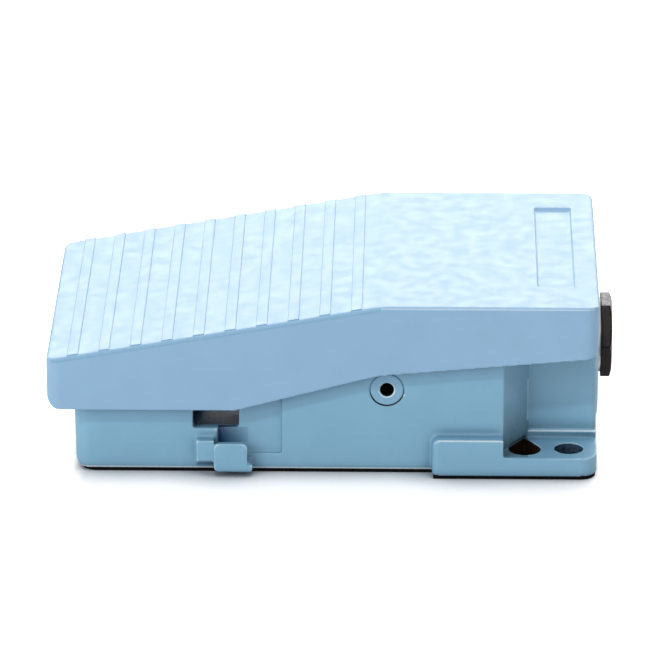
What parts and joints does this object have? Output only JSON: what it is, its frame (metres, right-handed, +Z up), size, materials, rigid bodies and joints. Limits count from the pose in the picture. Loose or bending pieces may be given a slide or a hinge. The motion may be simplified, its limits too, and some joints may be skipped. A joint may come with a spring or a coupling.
{
  "type": "foot switch",
  "caption": "Industrial foot switch: rocker pedal with cross ribs on a cast housing, sealed contact chamber, two cable entries, one plugged, and two drilled fixing ears.",
  "frame": {"origin": "middle of the footprint of the whole part, on the floor it stands on", "axes": "+X from the toe to the cable entries, +Z up, -Y the side with the open cable entry"},
  "size_m": [0.1778, 0.104, 0.0574],
  "materials": {
    "cast_paint": "light blue enamel on die-cast zinc alloy, semi-gloss",
    "pin_paint": "light blue enamel on steel, worn at the bore",
    "base_paint": "black coated steel sheet",
    "bronze": "sintered bronze",
    "brass": "turned brass",
    "steel": "zinc plated steel",
    "spring_steel": "drawn spring wire",
    "rubber": "black nitrile rubber",
    "plunger_plastic": "red moulded plastic",
    "block_plastic": "off-white moulded plastic",
    "washer_plastic": "pale sealing washer",
    "plug_plastic": "dark brown moulded plug"
  },
  "bodies": {
    "base": {"housing": "cast_paint", "chamber": "cast_paint", "entry_wall": "cast_paint", "pivot_pins": "pin_paint", "stop_pads": "rubber", "return_spring": "spring_steel", "base_plate": "base_paint", "base_gasket": "rubber", "base_screws": "steel", "rod_guide": "brass", "guide_ring": "rubber", "rod_boot": "rubber", "plunger_spring": "spring_steel", "contact_block": "block_plastic", "terminal_plates": "brass", "terminal_screws": "steel", "block_screws": "steel", "earth_clamp": "brass", "earth_screw": "steel", "plug_washer": "washer_plastic", "blanking_plug": "plug_plastic"},
    "rocker": {"pedal": "cast_paint", "pivot_bushes": "bronze", "striker_screw": "steel", "striker_nut": "steel"},
    "plunger": {"push_rod": "steel", "contact_plunger": "plunger_plastic"}
  },
  "joints": [
    {"name": "pedal_hinge", "type": "hinge", "parent": "base", "child": "rocker", "pos_m": [0.0172, 0, 0.028], "axis": [0, -1, 0], "range_deg": [0, 8], "stiffness_Nm_per_rad": 10, "springref_deg": -20.05, "deforming": ["return_spring"]},
    {"name": "rod_slide", "type": "slide", "parent": "base", "child": "plunger", "axis": [0, 0, -1], "range_m": [0, 0.0032], "deforming": ["rod_boot", "plunger_spring"]}
  ],
  "couplings": [
    {"joint": "rod_slide", "follows": "pedal_hinge", "m_per_rad": 0.0223}
  ]
}
